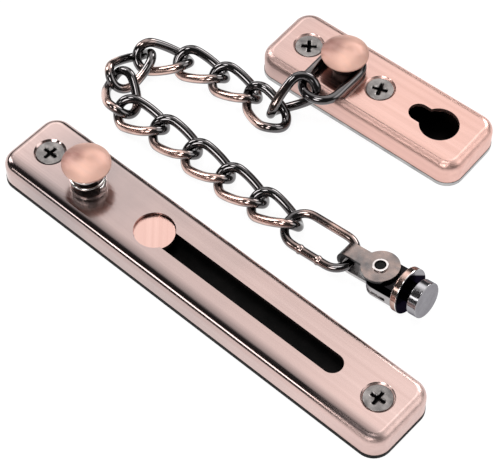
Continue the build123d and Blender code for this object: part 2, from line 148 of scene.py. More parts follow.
def tube_grid(path, radius, sides, side_hint, closed):
    """Circle of the radius carried along the path, its first spoke turned as near to the hint as it goes.

    Each point is path + radius * (cos(angle) * spoke + sin(angle) * spoke x tangent)."""
    if closed:
        tangent = unit(np.roll(path, -1, axis=0) - np.roll(path, 1, axis=0))
    else:
        tangent = unit(np.gradient(path, axis=0))
    spoke = unit(side_hint - np.sum(side_hint * tangent, axis=1, keepdims=True) * tangent)
    other = np.cross(tangent, spoke)
    angle = np.linspace(0, 2 * np.pi, sides, endpoint=False)
    cosine, sine = np.cos(angle)[None, :, None], np.sin(angle)[None, :, None]
    ring = cosine * spoke[:, None, :] + sine * other[:, None, :]
    return path[:, None, :] + np.asarray(radius).reshape(-1, 1, 1) * ring


def turned_grid(profile, sides):
    """Profile of (radius, height) points carried round the Z axis."""
    angle = np.linspace(0, 2 * np.pi, sides, endpoint=False)
    radius = profile[:, 0:1]
    height = np.broadcast_to(profile[:, 1:2], (len(profile), sides))
    return np.stack([radius * np.cos(angle), radius * np.sin(angle), height], axis=-1)


def place(points, origin, axes):
    """Local points carried to the frame: origin + x * first axis + y * second + z * third."""
    return points @ np.asarray(axes) + np.asarray(origin)


print("grid helpers ready")

# %% [markdown]
# ## Shared finishes
#
# All of the metal is plated and then either brushed or rubbed. Brushing leaves fine lines that run one way,
# so the first node group is a noise that is stretched along X. Ageing leaves soft clouds, so the second is
# a plain noise at a larger size. Both groups only give values: each material decides what to do with them.

# %% Node helpers and groups
def add_node(tree, kind, inputs=None, **settings):
    """Adds a node, sets its properties, and links or sets its inputs."""
    node = tree.nodes.new(kind)
    for key, value in settings.items():
        setattr(node, key, value)
    for key, value in (inputs or {}).items():
        if isinstance(value, bpy.types.NodeSocket):
            tree.links.new(value, node.inputs[key])
        else:
            node.inputs[key].default_value = value
    return node


def ramp(tree, value, low, high, start=0.0, end=1.0):
    """Value moved from one range to another, kept inside it."""
    node = add_node(tree, "ShaderNodeMapRange", {
        "Value": value, "From Min": low, "From Max": high, "To Min": start, "To Max": end})
    return node.outputs[0]


def between(tree, share, start, end):
    """Value between two others, for a share from 0 to 1."""
    return ramp(tree, share, 0.0, 1.0, start, end)


def combine(tree, operation, first, second=0.0, clamp=False):
    """Outcome of a sum on one or two values, kept between 0 and 1 where clamp says so."""
    node = add_node(tree, "ShaderNodeMath", {0: first, 1: second}, operation=operation, use_clamp=clamp)
    return node.outputs[0]


def separate(tree, vector):
    """X, Y and Z of a vector."""
    return add_node(tree, "ShaderNodeSeparateXYZ", {"Vector": vector}).outputs


def attribute(tree, name):
    """Value that a mesh carries under a name."""
    return add_node(tree, "ShaderNodeAttribute", attribute_name=name).outputs["Fac"]


def new_group(name, inputs, outputs):
    """Starts a shader node group with float or vector inputs and float outputs."""
    group = bpy.data.node_groups.new(name, "ShaderNodeTree")
    for key, kind, value in inputs:
        socket = group.interface.new_socket(name=key, in_out="INPUT", socket_type=kind)
        if value is not None:
            socket.default_value = value
    for key in outputs:
        group.interface.new_socket(name=key, in_out="OUTPUT", socket_type="NodeSocketFloat")
    return group, group.nodes.new("NodeGroupInput"), group.nodes.new("NodeGroupOutput")


def brushed_grain_group():
    """Fine and coarse lines along X: two noises whose Y and Z are squeezed much more than their X."""
    group, given, out = new_group(
        "brushed_grain",
        [("Vector", "NodeSocketVector", None), ("Lines per metre", "NodeSocketFloat", 3200.0),
         ("Stretch", "NodeSocketFloat", 60.0)],
        ["Fine", "Coarse"])
    lines = given.outputs["Lines per metre"]
    along = combine(group, "DIVIDE", lines, given.outputs["Stretch"])
    scale = add_node(group, "ShaderNodeCombineXYZ", {"X": along, "Y": lines, "Z": lines})
    squeezed = add_node(group, "ShaderNodeVectorMath", {0: given.outputs["Vector"], 1: scale.outputs[0]},
                        operation="MULTIPLY")
    for key, size, detail in (("Fine", 1.0, 2.0), ("Coarse", 0.27, 3.0)):
        noise = add_node(group, "ShaderNodeTexNoise", {
            "Vector": squeezed.outputs[0], "Scale": size, "Detail": detail})
        group.links.new(ramp(group, noise.outputs["Fac"], 0.3, 0.7), out.inputs[key])
    return group


def cloud_group():
    """Soft clouds of two sizes, for the uneven tone of an aged plating."""
    group, given, out = new_group(
        "plating_clouds",
        [("Vector", "NodeSocketVector", None), ("Size per metre", "NodeSocketFloat", 60.0)],
        ["Cloud", "Speckle"])
    for key, finer, detail in (("Cloud", 1.0, 3.0), ("Speckle", 22.0, 2.0)):
        size = combine(group, "MULTIPLY", given.outputs["Size per metre"], finer)
        noise = add_node(group, "ShaderNodeTexNoise", {
            "Vector": given.outputs["Vector"], "Scale": size, "Detail": detail})
        group.links.new(ramp(group, noise.outputs["Fac"], 0.32, 0.68), out.inputs[key])
    return group


GRAIN = brushed_grain_group()
CLOUDS = cloud_group()


def new_material(name, metallic=1.0):
    """A material with its tree, its shader and its object coordinates."""
    material = bpy.data.materials.new(name)
    material.use_nodes = True
    tree = material.node_tree
    shader = tree.nodes["Principled BSDF"]
    shader.inputs["Metallic"].default_value = metallic
    return material, tree, shader, tree.nodes.new("ShaderNodeTexCoord").outputs["Object"]


def use_group(tree, group, **inputs):
    """Places a node group in a material; an underscore in an input's name stands for a space."""
    named = {key.replace("_", " "): value for key, value in inputs.items()}
    return add_node(tree, "ShaderNodeGroup", named, node_tree=group)


def blend_colour(tree, factor, low, high):
    """Colour between two others; each is a socket or three numbers."""
    node = add_node(tree, "ShaderNodeMix", data_type="RGBA")
    for socket, value in ((node.inputs[0], factor), (node.inputs[6], low), (node.inputs[7], high)):
        if isinstance(value, bpy.types.NodeSocket):
            tree.links.new(value, socket)
        else:
            socket.default_value = value if isinstance(value, float) else (*value, 1.0)
    return node.outputs[2]


def dress(tree, shader, colour, rough, height, strength, distance=0.00003):
    """Gives a shader its colour, its roughness and a bump of a height value."""
    bump = add_node(tree, "ShaderNodeBump", {"Height": height, "Strength": strength, "Distance": distance})
    tree.links.new(colour, shader.inputs["Base Color"])
    tree.links.new(rough, shader.inputs["Roughness"])
    tree.links.new(bump.outputs[0], shader.inputs["Normal"])


print("node groups:", [g.name for g in bpy.data.node_groups])

# %% [markdown]
# ## Brushed copper of the plates
#
# The covers are plated in copper, toned with a smoky brown and then brushed along their length, so the
# colour is a rosy copper with grey-brown lines in it. The brush took less off the track's left half, and its
# near rounded edge carries a painted dark reflection. The rounded edges that the brush missed are duller
# than the faces. The anchor lies at a small angle and the gate was brushed across, and a Mapping node turns
# their lines.

# %% Copper materials
ANCHOR_TURN = math.radians(2.8)
GATE_TURN = math.radians(132)
COPPER_LIGHT = (0.82, 0.60, 0.555)
COPPER_DEEP = (0.66, 0.46, 0.42)
ROSE_LIGHT = (0.90, 0.585, 0.515)
ROSE_DEEP = (0.74, 0.445, 0.385)
SMOKE = (0.42, 0.34, 0.33)
# Colour of the painted dark reflection on the track's near rounded edge
PAINTED_EDGE_DARK = (0.085, 0.070, 0.072)
# Colour of the painted shade under the caps
UNDER_CAP_SHADE = (0.012, 0.010, 0.010)

# Heights in metres between which the flat face gives way to its rounded edge, and the painted dark reflection
# on the edge begins
FACE_EDGE = (0.0080, 0.00817)
UPPER_EDGE = (0.0074, 0.0078)


def even(value):
    """Ramp that has one value everywhere."""
    return -1.0, 1.0, value, value


def plate_copper(name, turn, deep, light, smoke, clear, edges, dark=None):
    """Brushed copper with lines along X; smoke, clear and edges are ramps along X in metres.

    Smoke is how grey the copper is, clear is the share of that at the left end, and edges is the roughness
    of the rounded edges. Dark is a ramp along Y for a painted dark reflection on a near rounded edge."""
    material, tree, shader, coordinates = new_material(name)
    turned = add_node(tree, "ShaderNodeMapping", {"Vector": coordinates, "Rotation": (0.0, 0.0, -turn)})
    grain = use_group(tree, GRAIN, Vector=turned.outputs[0], Lines_per_metre=2600.0, Stretch=70.0)
    clouds = use_group(tree, CLOUDS, Vector=turned.outputs[0], Size_per_metre=45.0)
    at = separate(tree, coordinates)
    colour = blend_colour(tree, between(tree, grain.outputs["Coarse"], 0.30, 0.90), deep, light)
    fade = combine(tree, "MULTIPLY", ramp(tree, at["X"], *smoke), ramp(tree, at["X"], *clear), True)
    uneven = combine(tree, "MULTIPLY", fade, between(tree, clouds.outputs["Cloud"], 0.75, 1.15), True)
    colour = blend_colour(tree, uneven, colour, SMOKE)
    # Painted dark reflection along the upper part of the near rounded edge
    if dark:
        upper = ramp(tree, at["Z"], *UPPER_EDGE)
        painted_edge_reflection = combine(tree, "MULTIPLY", ramp(tree, at["Y"], *dark), upper, True)
        colour = blend_colour(tree, painted_edge_reflection, colour, PAINTED_EDGE_DARK)
    fine = between(tree, grain.outputs["Fine"], 0.12, 0.24)
    edge = ramp(tree, at["Z"], *FACE_EDGE, 1.0, 0.0)
    rough = between(tree, edge, fine, ramp(tree, at["X"], *edges))
    dress(tree, shader, colour, rough, grain.outputs["Fine"], 0.20)
    return material


TRACK_COPPER = plate_copper(
    "track_copper", 0.0, COPPER_DEEP, COPPER_LIGHT,
    smoke=(-0.036, 0.054, 1.0, 0.10), clear=(-0.064, -0.044, 0.45, 1.0),
    edges=(0.040, 0.058, 0.14, 0.42), dark=(-0.0062, -0.0092, 0.0, 0.85))
ANCHOR_COPPER = plate_copper(
    "anchor_copper", ANCHOR_TURN, ROSE_DEEP, ROSE_LIGHT,
    smoke=(-0.039, 0.001, 0.60, 0.0), clear=even(1.0), edges=even(0.42))
GATE_COPPER = plate_copper(
    "gate_copper", GATE_TURN, ROSE_DEEP, ROSE_LIGHT, smoke=even(0.15), clear=even(1.0), edges=even(0.22))


def cap_copper():
    """Copper of the turned caps, with painted highlight and painted shade in fans about the middle, standing
    for the sheen of fine lathe rings, and painted shade on the stem.
    """
    material, tree, shader, coordinates = new_material("cap_copper", 0.5)
    tangent = add_node(tree, "ShaderNodeTangent", direction_type="RADIAL", axis="Z")
    tree.links.new(tangent.outputs[0], shader.inputs["Tangent"])
    shader.inputs["Anisotropic"].default_value = 0.5
    grain = use_group(tree, GRAIN, Vector=coordinates, Lines_per_metre=3400.0, Stretch=26.0)
    clouds = use_group(tree, CLOUDS, Vector=coordinates, Size_per_metre=150.0)
    # Painted sheen: light and dark copper in fans about the cap's middle
    cloudy = combine(tree, "ADD", attribute(tree, "fan"), between(tree, clouds.outputs["Cloud"], -0.08, 0.08))
    copper = blend_colour(tree, cloudy, (0.34, 0.165, 0.135), (0.94, 0.57, 0.455))
    copper = blend_colour(tree, between(tree, grain.outputs["Coarse"], 0.0, 0.25), copper, COPPER_DEEP)
    # Painted shade on the cap's underside and the stem below it
    colour = blend_colour(tree, attribute(tree, "stem"), copper, UNDER_CAP_SHADE)
    rough = between(tree, grain.outputs["Fine"], 0.42, 0.54)
    dress(tree, shader, colour, rough, grain.outputs["Fine"], 0.12)
    return material


CAP_COPPER = cap_copper()
print("copper:", TRACK_COPPER.name, ANCHOR_COPPER.name, GATE_COPPER.name, CAP_COPPER.name)

# %% [markdown]
# ## Dark chain, steel and black
#
# The chain is plated almost black and polished, and the copper under it shows where the links rub. Each
# wire piece carries an attribute named wear that is high on top of its near side. Screws are dull grey with
# painted shade in their recesses, the spring is bright, and a matt black stands in as painted shade for what
# lies in the dark.

# %% Dark and grey materials
def chain_metal(name, dark, copper, most):
    """Black polished plating that gives way to copper where the wear attribute and the clouds are high."""
    material, tree, shader, coordinates = new_material(name)
    clouds = use_group(tree, CLOUDS, Vector=coordinates, Size_per_metre=170.0)
    patchy = between(tree, clouds.outputs["Cloud"], 0.35, 1.3)
    uneven = combine(tree, "MULTIPLY", attribute(tree, "wear"), patchy, True)
    mask = ramp(tree, uneven, 0.10, 0.55, 0.0, most)
    speckle = between(tree, clouds.outputs["Speckle"], 0.0, 0.03)
    rough = combine(tree, "ADD", between(tree, mask, 0.06, 0.20), speckle)
    dress(tree, shader, blend_colour(tree, mask, dark, copper), rough, clouds.outputs["Cloud"], 0.004)
    return material


CHAIN_METAL = chain_metal("chain_metal", (0.135, 0.128, 0.13), (0.80, 0.55, 0.48), 0.9)


def plain_metal(name, dark, light, rough, lines, stretch, bump, metallic=1.0):
    """Metal or paint with a slight grain and clouds between two tones."""
    material, tree, shader, coordinates = new_material(name, metallic)
    grain = use_group(tree, GRAIN, Vector=coordinates, Lines_per_metre=lines, Stretch=stretch)
    clouds = use_group(tree, CLOUDS, Vector=coordinates, Size_per_metre=220.0)
    colour = blend_colour(tree, clouds.outputs["Cloud"], dark, light)
    uneven = between(tree, grain.outputs["Fine"], rough - 0.06, rough + 0.08)
    dress(tree, shader, colour, uneven, grain.outputs["Coarse"], bump)
    return material


# Below this height in metres a screw gets painted shade, in its recess
RECESS_TOP = (0.0076, 0.0078)
RECESS_SHADE = (0.004, 0.004, 0.004)


def screw_steel():
    """Dull pitted steel, with painted shade where it lies below the top of the heads, in their recesses."""
    material, tree, shader, coordinates = new_material("screw_steel")
    clouds = use_group(tree, CLOUDS, Vector=coordinates, Size_per_metre=420.0)
    steel = blend_colour(tree, clouds.outputs["Cloud"], (0.15, 0.14, 0.138), (0.36, 0.335, 0.325))
    above = ramp(tree, separate(tree, coordinates)["Z"], *RECESS_TOP)
    # Painted shade below the top of the heads, in their recesses
    colour = blend_colour(tree, above, RECESS_SHADE, steel)
    rough = between(tree, clouds.outputs["Speckle"], 0.24, 0.40)
    dress(tree, shader, colour, rough, clouds.outputs["Cloud"], 0.30, 0.00006)
    return material


SCREW_STEEL = screw_steel()
SPRING_STEEL = plain_metal("spring_steel", (0.72, 0.71, 0.70), (0.86, 0.85, 0.84), 0.12, 2500.0, 3.0, 0.05)
# A matt black that stands for painted shade, on the track's base and in the rivet's bore
PAINTED_SHADE_BLACK = plain_metal(
    "painted_shade_black", (0.005, 0.005, 0.005), (0.011, 0.010, 0.010), 0.55, 1500.0, 2.0, 0.1, 0.0)
PAINTED_SHADE_BLACK.node_tree.nodes["Principled BSDF"].inputs["Specular IOR Level"].default_value = 0.1
print("dark and grey:", CHAIN_METAL.name, SCREW_STEEL.name, SPRING_STEEL.name, PAINTED_SHADE_BLACK.name)

# %% [markdown]
# ## Where the loops lie
#
# A link, a ring and an oval are the same on both sides of their middle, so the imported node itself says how
# it lies: the second moments of its surface give its middle, its long axis and its flat axis. Asking the
# frame is better than writing angles here, because the new piece then follows any change in the solids.

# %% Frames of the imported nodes
def node_triangles(name):
    """Corner points of a node's triangles, as (triangles, 3 corners, 3)."""
    mesh = nodes[name].data
    mesh.calc_loop_triangles()
    points = np.empty(len(mesh.vertices) * 3, np.float32)
    mesh.vertices.foreach_get("co", points)
    corners = np.empty(len(mesh.loop_triangles) * 3, np.int32)
    mesh.loop_triangles.foreach_get("vertices", corners)
    return points.reshape(-1, 3)[corners].astype(float).reshape(-1, 3, 3)


def principal_frame(name):
    """Middle and axes of a node's surface, longest first.

    A triangle of area A, corners v and middle c has the second moment A / 12 * (sum of v v' + 9 c c')."""
    corners = node_triangles(name)
    area = np.linalg.norm(np.cross(corners[:, 1] - corners[:, 0], corners[:, 2] - corners[:, 0]), axis=1)
    middle = area @ corners.mean(axis=1) / area.sum()
    corners = corners - middle
    centres = corners.mean(axis=1)
    moments = np.einsum("t,tci,tcj->ij", area, corners, corners)
    moments = moments + 9 * np.einsum("t,ti,tj->ij", area, centres, centres)
    axes = np.linalg.eigh(moments)[1].T[::-1].copy()
    axes[2] = np.cross(axes[0], axes[1])
    return middle, axes


def box_middle(name):
    """Middle of a node's box in metres."""
    low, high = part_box(name)
    return (low + high) / 2


middle, axes = principal_frame("oval_link")
print("oval link: middle", np.round(middle / MM, 1), "mm, long axis", np.round(axes[0], 2))

# %% [markdown]
# ## Links, ring and oval link
#
# A curb link is an oval of wire that is twisted by a quarter turn, so that the chain lies flat. The wire is
# a circle carried along an oval of two straight sides and two round ends, and each point of the oval is
# turned about the long axis in step with its place along it. Real wire bends smoothly, so the oval is
# averaged with its neighbours, which takes away the sudden change where a straight side meets a round end.

# %% Wire loops
def oval_path(reach, side, twist, count, blur):
    """Equal steps round an oval from the middle of one side, twisted by twist * x / reach about X.

    A side runs straight for reach - side from its middle, then turns half a circle of radius side."""
    straight = reach - side
    half_round = 2 * straight + np.pi * side
    way = np.linspace(0, 2 * half_round, count, endpoint=False)
    past = way % half_round - straight
    angle = np.clip(past / side, 0, np.pi)
    x = straight + side * np.sin(angle) + np.minimum(past, 0) - np.maximum(past - np.pi * side, 0)
    y = -side * np.cos(angle)
    sign = np.where(way < half_round, 1.0, -1.0)
    x, y = x * sign, y * sign
    steps = np.arange(-blur, blur + 1)
    x = np.mean([np.roll(x, step) for step in steps], axis=0)
    y = np.mean([np.roll(y, step) for step in steps], axis=0)
    turn = twist * x / reach
    return np.stack([x, y * np.cos(turn), y * np.sin(turn)], axis=-1)


RUBBED = unit(np.array([0.10, -0.45, 0.89]))
WELD_RISE, WELD_SHARE = 0.24, 0.007


def wire_loop(name, node, body, reach, side, wire, twist, rub, welds=()):
    """Round wire along an oval, laid as the node lies; welds are shares of the way from the near side.

    Rub is the wear of the near and the far side. It is most in the middle of a side, where the wire faces
    the rubbed direction."""
    count, sides = 160, 28
    middle, axes = principal_frame(node)
    path = oval_path(reach, side, twist, count, 3)
    x, level = path[:, 0], np.zeros(count)
    turn = twist * x / reach
    outward = np.stack([level, np.cos(turn), np.sin(turn)], axis=-1) * np.sign(path[:, 1] + 1e-9)[:, None]
    endward = x / reach * 2.0 * (np.abs(x) > reach - side)
    outward = unit(outward + np.stack([endward, level, level], axis=-1))
    share = np.arange(count) / count + (0.0 if axes[1][1] > 0 else 0.5)
    radius = np.full(count, wire / 2)
    for weld in welds:
        away = (share - weld + 0.5) % 1 - 0.5
        radius = radius + WELD_RISE * np.exp(-(away / WELD_SHARE) ** 2)
    points = tube_grid(path, radius, sides, outward, True)
    facing = (unit(points - path[:, None, :]) @ axes) @ RUBBED
    near = np.clip(0.4 - 0.9 * (path @ axes)[:, 1] / side, 0, 1)
    leg = 1 - (np.abs(x) / reach) ** 2
    wear = (leg * (rub[0] * near + rub[1] * (1 - near)))[:, None] * np.clip(1.25 * facing, 0, 1) ** 1.3
    points = place(points * MM, middle, axes)
    return add_piece(name, points, body, "chain", CHAIN_METAL, wrap_rows=True, node=node, wear=wear)


LINK_COUNT, LINK_TWIST = 12, -math.radians(45)
LINK_REACH, LINK_SIDE, LINK_WIRE = 7.42, 4.1, 2.6
RING_REACH, RING_SIDE, RING_WIRE = 9.9, 5.3, 2.6
OVAL_REACH, OVAL_SIDE, OVAL_WIRE = 10.3, 5.0, 2.4
OVAL_WELDS = (0.946, 0.054)

for number in range(1, LINK_COUNT + 1):
    rub = (1.0, 0.05) if number > 1 else (0.3, 0.1)
    wire_loop(f"link_wire_{number:02d}", f"chain_link_{number:02d}", f"link_{number:02d}",
              LINK_REACH, LINK_SIDE, LINK_WIRE, LINK_TWIST, rub)
wire_loop("ring_wire", "stud_ring", "ring", RING_REACH, RING_SIDE, RING_WIRE, 0.0, (0.12, 0.12))
wire_loop("oval_wire", "oval_link", "oval", OVAL_REACH, OVAL_SIDE, OVAL_WIRE, 0.0, (0.35, 0.6), OVAL_WELDS)
print("wire loops:", LINK_COUNT, "links, ring and oval")

# %% [markdown]
# ## Button and stud
#
# These two were turned on a lathe, so each is a profile carried round an axis. A helper rounds the corners
# of a profile with arcs and puts a point just beyond each arc, which keeps the flat runs flat when the
# surface is shaded smooth. The sheen of fine lathe rings is painted on a cap as light and dark fans, so each
# cap carries an attribute of painted sheen that goes up and down round its middle and is lighter to one
# side, and one named stem for the painted shade below the cap.

# %% Turned pieces
SUPPORT = 0.04


def rounded_profile(corners, steps=6):
    """Line through (radius, height, rounding) corners, each rounded by an arc that touches both its runs."""
    points = [np.array(corners[0][:2], float)]
    for before, corner, after in zip(corners, corners[1:], corners[2:]):
        here = np.array(corner[:2], float)
        if corner[2] == 0:
            points.append(here)
            continue
        back_way = unit(np.array(before[:2]) - here)
        on_way = unit(np.array(after[:2]) - here)
        half = np.arccos(np.clip(back_way @ on_way, -1, 1)) / 2
        touch = corner[2] / np.tan(half)
        centre = here + unit(back_way + on_way) * corner[2] / np.sin(half)
        first, last = here + back_way * touch - centre, here + on_way * touch - centre
        share, span = np.linspace(0, 1, steps)[:, None], np.pi - 2 * half
        arc = centre + (np.sin((1 - share) * span) * first + np.sin(share * span) * last) / np.sin(span)
        points += [here + back_way * (touch + SUPPORT), *arc, here + on_way * (touch + SUPPORT)]
    points.append(np.array(corners[-1][:2], float))
    return np.array(points)


CAP_RADIUS, CAP_RIM, DOME_RISE = 6.5, 0.5, 2.1


def mushroom_profile(under, stem, shoulder, tenon, foot):
    """Domed cap on a stem with a thinner tenon, from the top of the dome to the middle of the foot, in mm.

    The dome is an arc of radius (cap^2 + rise^2) / (2 * rise), and its rim is rounded."""
    rim = under + CAP_RIM
    dome = (CAP_RADIUS ** 2 + DOME_RISE ** 2) / (2 * DOME_RISE)
    angle = np.linspace(0, math.asin((CAP_RADIUS - 0.3) / dome), 24)
    arc = np.stack([dome * np.sin(angle), rim + DOME_RISE - dome + dome * np.cos(angle)], axis=-1)
    last = arc[-1]
    lower = rounded_profile([
        (*last, 0), (CAP_RADIUS, rim, 0.15), (CAP_RADIUS, under, 0.15), (stem, under, 0.3),
        (stem, shoulder, 0), (tenon, shoulder, 0), (tenon, foot, 0), (0, foot, 0)])
    return np.concatenate([arc, lower[1:]])


# Turn of the painted sheen's fans, and the side towards which it is lighter
SHEEN_TURN, SHEEN_LEAN = math.radians(-66), math.radians(-5)
CAP_SIDES = 96


def mushroom(name, node, body, profile):
    """Turned cap placed over the middle of its node, with a painted sheen in two fans that is lighter to one
    side, and painted shade below the cap.
    """
    middle = box_middle(node)
    points = turned_grid(profile, CAP_SIDES) * MM + np.array([middle.x, middle.y, 0])
    # The stem mask marks the cap's underside and the stem, for painted shade
    below = np.arange(len(profile)) > np.argmax(profile[:, 0])
    stem = np.broadcast_to((below & (profile[:, 0] < CAP_RADIUS - 0.5))[:, None], points.shape[:2])
    # Painted sheen: two light and two dark fans round the middle, lighter towards one side
    angle = np.linspace(0, 2 * np.pi, CAP_SIDES, endpoint=False)
    fans = 0.26 * np.cos(2 * (angle - SHEEN_TURN)) + 0.30 * np.cos(angle - SHEEN_LEAN)
    fan = 0.5 + fans * np.clip(profile[:, 0:1] / 2.5, 0, 1)
    return add_piece(name, points, body, "copper", CAP_COPPER, node=node, stem=stem, fan=fan)


BUTTON_UNDER, STUD_UNDER = 15.3, 13.4
mushroom("button_cap", "press_button", "button", mushroom_profile(BUTTON_UNDER, 2.5, 6.9, 1.8, 5.9))
mushroom("stud_cap", "anchor_stud", "plates", mushroom_profile(STUD_UNDER, 3.0, 1.2, 2.0, 0.02))
print("caps on the button and the stud")

# %% [markdown]
# ## Spring
#
# The spring under the button is an open coil of bright wire. It is a circle carried along a helix, with the
# two ends drawn flat so that they sit on the cover and under the cap, and a point at each end closes the
# wire. It lies between two bodies, rides on the plates and has a mesh of its own.

# %% Spring coil
BUTTON_X, FACE_Z = -42.0, 8.2
COIL_RADIUS, COIL_TURNS, COIL_WIRE, COIL_PLAY = 4.4, 3.0, 0.85, 0.05


def coil_path(radius, turns, low, high, count):
    """Helix whose height eases at both ends: height = low + (high - low) * eased share of the turns."""
    share = np.linspace(0, 1, count)
    eased = share - np.sin(2 * np.pi * share) * 0.05
    angle = 2 * np.pi * turns * share
    return np.stack([radius * np.cos(angle), radius * np.sin(angle), low + (high - low) * eased], axis=-1)


def spring_coil():
    """Wire of the coil with its ends closed."""
    clear = COIL_PLAY + COIL_WIRE / 2
    path = coil_path(COIL_RADIUS, COIL_TURNS, FACE_Z + clear, BUTTON_UNDER - clear, 220)
    points = tube_grid(path, COIL_WIRE / 2, 16, np.broadcast_to([0.0, 0.0, 1.0], path.shape), False)
    first, last = (np.broadcast_to(end, points[:1].shape) for end in (path[0], path[-1]))
    points = np.concatenate([first, points, last]) + np.array([BUTTON_X, 0, 0])
    return add_piece("spring_coil", points * MM, "plates", "spring", SPRING_STEEL, node="button_spring")


spring = spring_coil()
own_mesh(spring)
print("spring:", len(spring.data.polygons), "faces")

# %% [markdown]
# ## Screws
#
# Each plate has two countersunk screws with a cross recess. The top of a head is a square grid whose lines
# fall on the edges of the cross, so its walls are crisp, and its height is pressed down inside the cross. A
# second grid carries the edge of that square out to the round rim, down the cone and along the shank.

# %% Screw heads
HEAD_TOP, HEAD_RADIUS, HEAD_FLAT, HEAD_RIM, SHANK_RADIUS, SHANK_END = 7.9, 3.75, 3.45, 0.3, 1.9, 0.3
CROSS_REACH, CROSS_HALF, CROSS_DEPTH, CROSS_TAPER = 2.2, 0.525, 1.5, 0.22
SQUARE = 2.4


def screw_grids(turn):
    """Square grid with the cross pressed into it, and the grid from its edge round the head to the shank.

    A point's depth grows with its distance inside the cross over the taper of the wall, and is most at the
    middle."""
    marks = np.array([0.0, CROSS_HALF - CROSS_TAPER, CROSS_HALF, 0.9, 1.4,
                      CROSS_REACH - CROSS_TAPER, CROSS_REACH, SQUARE])
    line = np.concatenate([-marks[:0:-1], marks])
    u, v = np.meshgrid(line, line, indexing="ij")
    long_arm = np.minimum(CROSS_REACH - abs(u), CROSS_HALF - abs(v))
    cross_arm = np.minimum(CROSS_REACH - abs(v), CROSS_HALF - abs(u))
    inside = np.clip(np.maximum(long_arm, cross_arm) / CROSS_TAPER, 0, 1)
    floor_depth = CROSS_DEPTH * (1 - 0.55 * np.maximum(abs(u), abs(v)) / CROSS_REACH)
    square = np.stack([u, v, -inside * floor_depth], axis=-1)
    edge = np.concatenate([square[0, :-1], square[:-1, -1], square[-1, :0:-1], square[:0:-1, 0]])
    round_way = unit(edge[:, :2])
    shank_end = SHANK_END - HEAD_TOP
    profile = rounded_profile([
        (HEAD_FLAT, 0, 0), (HEAD_RADIUS, 0, 0.1), (HEAD_RADIUS, -HEAD_RIM, 0.08),
        (SHANK_RADIUS, SHANK_RADIUS - HEAD_RADIUS - HEAD_RIM, 0.2),
        (SHANK_RADIUS, shank_end, 0.15), (0, shank_end, 0)], 4)[1:]
    rings = [np.concatenate([round_way * r, np.full((len(edge), 1), z)], axis=-1) for r, z in profile]
    shell = np.stack([edge, *rings])
    spin = np.array([[math.cos(turn), math.sin(turn), 0], [-math.sin(turn), math.cos(turn), 0], [0, 0, 1]])
    return square @ spin + [0, 0, HEAD_TOP], shell @ spin + [0, 0, HEAD_TOP]


def solid_middles(name):
    """Middles of the two solids of a screw node, told apart by their side of the node's middle."""
    corners = node_triangles(name).reshape(-1, 3)
    half = (corners.min(axis=0) + corners.max(axis=0)) / 2
    sides = [corners[corners[:, 0] < half[0]], corners[corners[:, 0] > half[0]]]
    return [(side.min(axis=0) + side.max(axis=0)) / 2 for side in sides]


def add_screws(name, node, turns):
    """Both screws of a plate as one piece."""
    grids = []
    for middle, turn in zip(solid_middles(node), turns):
        square, shell = screw_grids(turn)
        place_at = np.array([middle[0], middle[1], 0])
        grids += [(square * MM + place_at, False, False), (shell * MM + place_at, False, True)]
    return add_grids(name, grids, "plates", "screw", SCREW_STEEL, node=node)


add_screws("track_screw_heads", "track_screws", (0.0, math.radians(3)))
add_screws("anchor_screw_heads", "anchor_screws", (math.radians(38), math.radians(22)))
print("screws: two on each plate")

# %% [markdown]
# ## Finishes of the carried-over solids
#
# The covers, the bases, the gate, the strap, the rivet and the bolt keep their solids, because flat sheet
# and turned steps are right as they are. They only need their metals, and the bases get painted shade. The
# bolt is one piece with several finishes: black at the barrel and the neck, copper at the collar and grey at
# the head, with a painted reflection of the floor at the foot and painted highlights on the collar's rims and
# the neck, so its material asks how far along the bolt a point lies. A Mapping node sets the rivet as the
# start and turns the bolt's axis onto X. The strap has painted shade in its fold and a painted reflection of
# the floor underneath. A black plug of painted shade is set in the rivet, so that its bore looks deep.

# %% Strap, rivet, bolt and base finishes
RIVET_POINT = box_middle("strap_rivet")
BOLT_HEADING, BOLT_PITCH = math.radians(1.5), math.radians(8.5)
FLOOR_REFLECTION_GREY = (0.50, 0.48, 0.48)

# Where one finish, painted shade, painted reflection or painted highlight gives way to the next, in metres
# from the rivet's middle: heights, then along the bolt
EAR_TOP = (0.0031, 0.0034)
FOOT_TOP = (-0.0012, -0.0010)
COLLAR_FOOT_TOP = (-0.0030, -0.0026)
NECK_GLINT = (0.0062, 0.0067)
COLLAR_START, COLLAR_MIDDLE, COLLAR_RIM_HIGHLIGHT = (0.00735, 0.0075), 0.0084, (0.00072, 0.0008)
NECK_START = (0.00928, 0.00938)
HEAD_START = (0.01165, 0.01175)


def fitting_coordinates(tree, coordinates):
    """X, Y and Z of a point from the rivet's middle, with X along the bolt."""
    local = add_node(tree, "ShaderNodeMapping", {
        "Vector": coordinates, "Location": tuple(RIVET_POINT),
        "Rotation": (0.0, -BOLT_PITCH, BOLT_HEADING)}, vector_type="TEXTURE")
    return separate(tree, local.outputs[0])


def strap_metal():
    """Dull pewter with patches of copper on the strap's top, painted shade in its fold and a painted
    reflection of the floor underneath.
    """
    material, tree, shader, coordinates = new_material("strap_metal")
    height = fitting_coordinates(tree, coordinates)["Z"]
    clouds = use_group(tree, CLOUDS, Vector=coordinates, Size_per_metre=210.0)
    fine = use_group(tree, CLOUDS, Vector=coordinates, Size_per_metre=700.0).outputs["Cloud"]
    mask = combine(tree, "MULTIPLY", clouds.outputs["Cloud"], between(tree, fine, 0.4, 1.1), True)
    pewter = blend_colour(tree, mask, (0.15, 0.14, 0.142), (0.46, 0.34, 0.30))
    # Painted reflection of the floor below the foot, and painted shade in the fold above it
    under = blend_colour(tree, ramp(tree, height, *FOOT_TOP), FLOOR_REFLECTION_GREY, (0.02, 0.019, 0.02))
    colour = blend_colour(tree, ramp(tree, height, *EAR_TOP), under, pewter)
    dress(tree, shader, colour, between(tree, fine, 0.24, 0.40), fine, 0.25, 0.00006)
    return material


